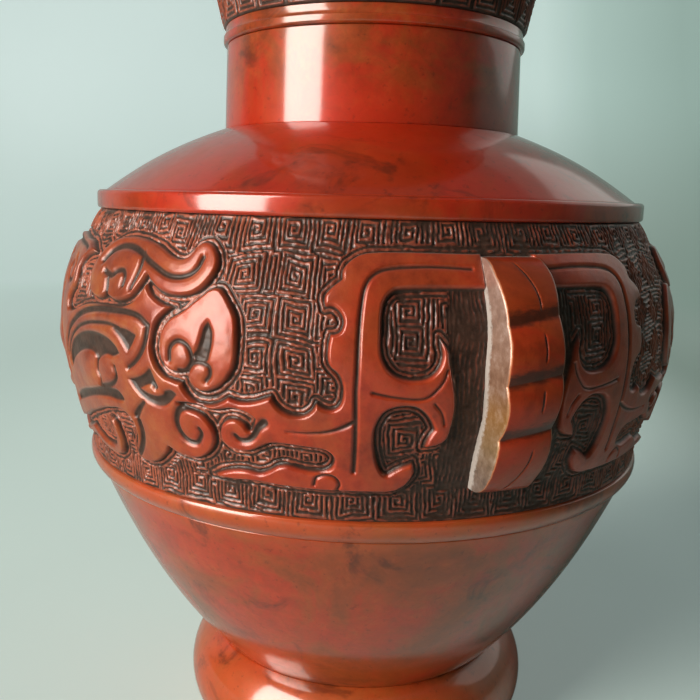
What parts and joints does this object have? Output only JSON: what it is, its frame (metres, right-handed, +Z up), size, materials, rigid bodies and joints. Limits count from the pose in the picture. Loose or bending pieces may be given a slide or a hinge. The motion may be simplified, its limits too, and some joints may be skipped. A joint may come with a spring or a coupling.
{
  "type": "bronze flower vase",
  "caption": "Footed bronze flower vase with notched lug handles and a belly band of beast-mask and dragon relief on a fret ground.",
  "frame": {"origin": "centre of the foot's underside, on the surface that the vase stands on", "axes": "+Z up along the vase's axis, X through the lug handles, Y through the middles of the beast masks"},
  "size_m": [0.185, 0.1696, 0.2224],
  "materials": {
    "red_patina": "cast bronze, red-brown patina, waxed and glossy, with darker and more orange clouds",
    "relief_patina": "cast bronze relief: orange-red and polished on top, brown-black and matt in the fret ground",
    "lug_patina": "cast bronze, red-brown patina, rubbed back to the bare metal on the flat sides",
    "bare_bronze": "dull, tarnished cast bronze"
  },
  "bodies": {
    "root": {"foot_ring": "red_patina", "base_plate": "bare_bronze", "bowl": "red_patina", "lower_bead": "red_patina", "belly_band": "relief_patina", "shoulder_ledge": "red_patina", "shoulder": "red_patina", "neck": "red_patina", "neck_ring": "red_patina", "collar_band": "relief_patina", "mouth_rim": "red_patina", "lug_right": "lug_patina", "rivet_right_lower": "bare_bronze", "rivet_right_upper": "bare_bronze", "lug_left": "lug_patina", "rivet_left_lower": "bare_bronze", "rivet_left_upper": "bare_bronze"}
  },
  "joints": []
}
